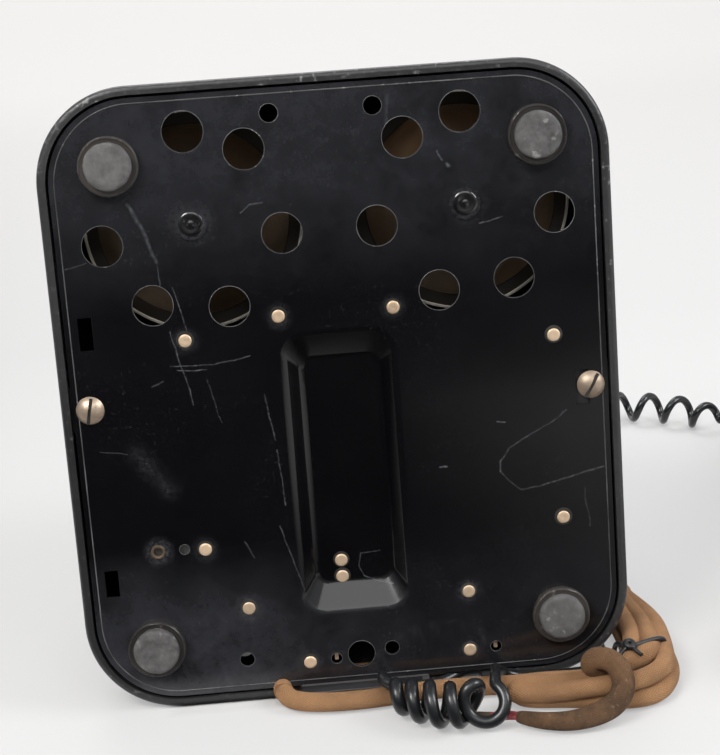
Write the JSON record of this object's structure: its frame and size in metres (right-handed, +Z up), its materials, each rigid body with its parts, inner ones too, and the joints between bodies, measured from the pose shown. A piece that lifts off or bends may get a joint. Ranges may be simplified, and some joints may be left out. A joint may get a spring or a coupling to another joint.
{
  "type": "desk telephone",
  "caption": "Black sheet-metal dial telephone lying on its rear wall, base plate to the front, with its handset off the hook, a stretched curly cord and a tied hank of cloth line cord",
  "frame": {"origin": "on the floor under the middle of the rear wall, 48 mm above the rim measured upright, where the wall lies flat on the floor", "axes": "+X to the right seen from the base plate, +Y away from the base plate towards the deck, +Z up from the floor; the telephone lies on its sloping rear wall"},
  "size_m": [0.3173, 0.2673, 0.1932],
  "materials": {
    "black_enamel": "glossy black stove enamel, crinkled on the rim",
    "plate_enamel": "smooth glossy black enamel, scratched and dusty",
    "bakelite": "polished black phenolic moulding",
    "rubber_grey": "aged grey-black rubber",
    "cup_black": "black pressed steel",
    "brass_worn": "worn brass, bright on the edges",
    "nickel": "dull nickel plate, yellowed",
    "bell_metal": "warm brown bell metal, bright rim",
    "steel": "plain steel",
    "zinc": "zinc-plated sheet",
    "winding": "wound coil in varnished cloth",
    "insulator": "brown laminate insulator",
    "enamel_dial": "cream enamelled number plate",
    "brown_cloth": "woven tan cotton braid",
    "black_cord": "smooth black rubber cord",
    "tie_black": "black tie"
  },
  "bodies": {
    "telephone": {"base_plate": "plate_enamel", "casing": "black_enamel", "casing_screws": "nickel", "condenser": "zinc", "condenser_strap": "zinc", "cord_bar": "zinc", "cradle": "bakelite", "cradle_screws": "nickel", "curly_coil": "black_cord", "curly_grommet": "black_cord", "curly_lead": "black_cord", "curly_run": "black_cord", "curly_stretch": "black_cord", "curly_tail": "black_cord", "dial_case": "zinc", "dial_ring": "bakelite", "eyelet": "brass_worn", "finger_stop": "nickel", "foot_cups": "cup_black", "gong_left": "bell_metal", "gong_nuts": "brass_worn", "gong_posts": "brass_worn", "gong_right": "bell_metal", "hook_bracket": "steel", "induction_core": "steel", "induction_winding": "winding", "line_cord_end": "brown_cloth", "line_cord_hank": "brown_cloth", "line_cord_inner": "brown_cloth", "line_cord_lead": "brown_cloth", "line_cord_tags": "brass_worn", "line_cord_tie": "tie_black", "number_plate": "enamel_dial", "plate_rivets": "brass_worn", "ringer_coils": "winding", "ringer_cores": "steel", "ringer_frame": "zinc", "rubber_feet": "rubber_grey", "side_lugs": "black_enamel", "switch_insulators": "insulator", "switch_springs": "steel", "terminal_block": "insulator", "terminal_posts": "zinc", "terminal_screws": "nickel", "terminal_tags": "brass_worn"},
    "dial_wheel": {"finger_wheel": "nickel", "dial_centre_cap": "nickel", "dial_shaft": "steel"},
    "hook_plungers": {"plungers": "insulator", "hook_bridge": "steel"},
    "hook_lever": {"hook_lever": "steel"},
    "clapper": {"armature": "steel", "clapper": "steel"},
    "handset": {"handset_handle": "bakelite", "mouthpiece_cap": "bakelite", "earpiece_cap": "bakelite", "transmitter_capsule": "zinc", "receiver_capsule": "zinc", "handset_gland": "black_cord"}
  },
  "joints": [
    {"name": "dial_turn", "type": "hinge", "parent": "telephone", "child": "dial_wheel", "pos_m": [0, 0.03389, 0.14769], "axis": [0, -0.7986, -0.6018], "range_deg": [0, 330], "stiffness_Nm_per_rad": 0.004, "springref_deg": -57.3},
    {"name": "hook_slide", "type": "slide", "parent": "telephone", "child": "hook_plungers", "axis": [0, -0.9903, 0.1392], "range_m": [0, 0.006], "stiffness_N_per_m": 150, "springref_m": -0.004},
    {"name": "hook_lever_turn", "type": "hinge", "parent": "telephone", "child": "hook_lever", "pos_m": [0, 0.03119, 0.02284], "axis": [1, 0, 0], "range_deg": [0, 11]},
    {"name": "clapper_swing", "type": "hinge", "parent": "telephone", "child": "clapper", "pos_m": [0, -0.00941, 0.127], "axis": [0, 0.9903, -0.1392], "range_deg": [-20, 20], "stiffness_Nm_per_rad": 0.002},
    {"name": "handset_lift", "type": "slide", "parent": "telephone", "child": "handset", "axis": [0, 0, 1], "range_m": [0, 0.12]}
  ],
  "couplings": [
    {"joint": "hook_lever_turn", "follows": "hook_slide", "rad_per_m": 29.41}
  ]
}
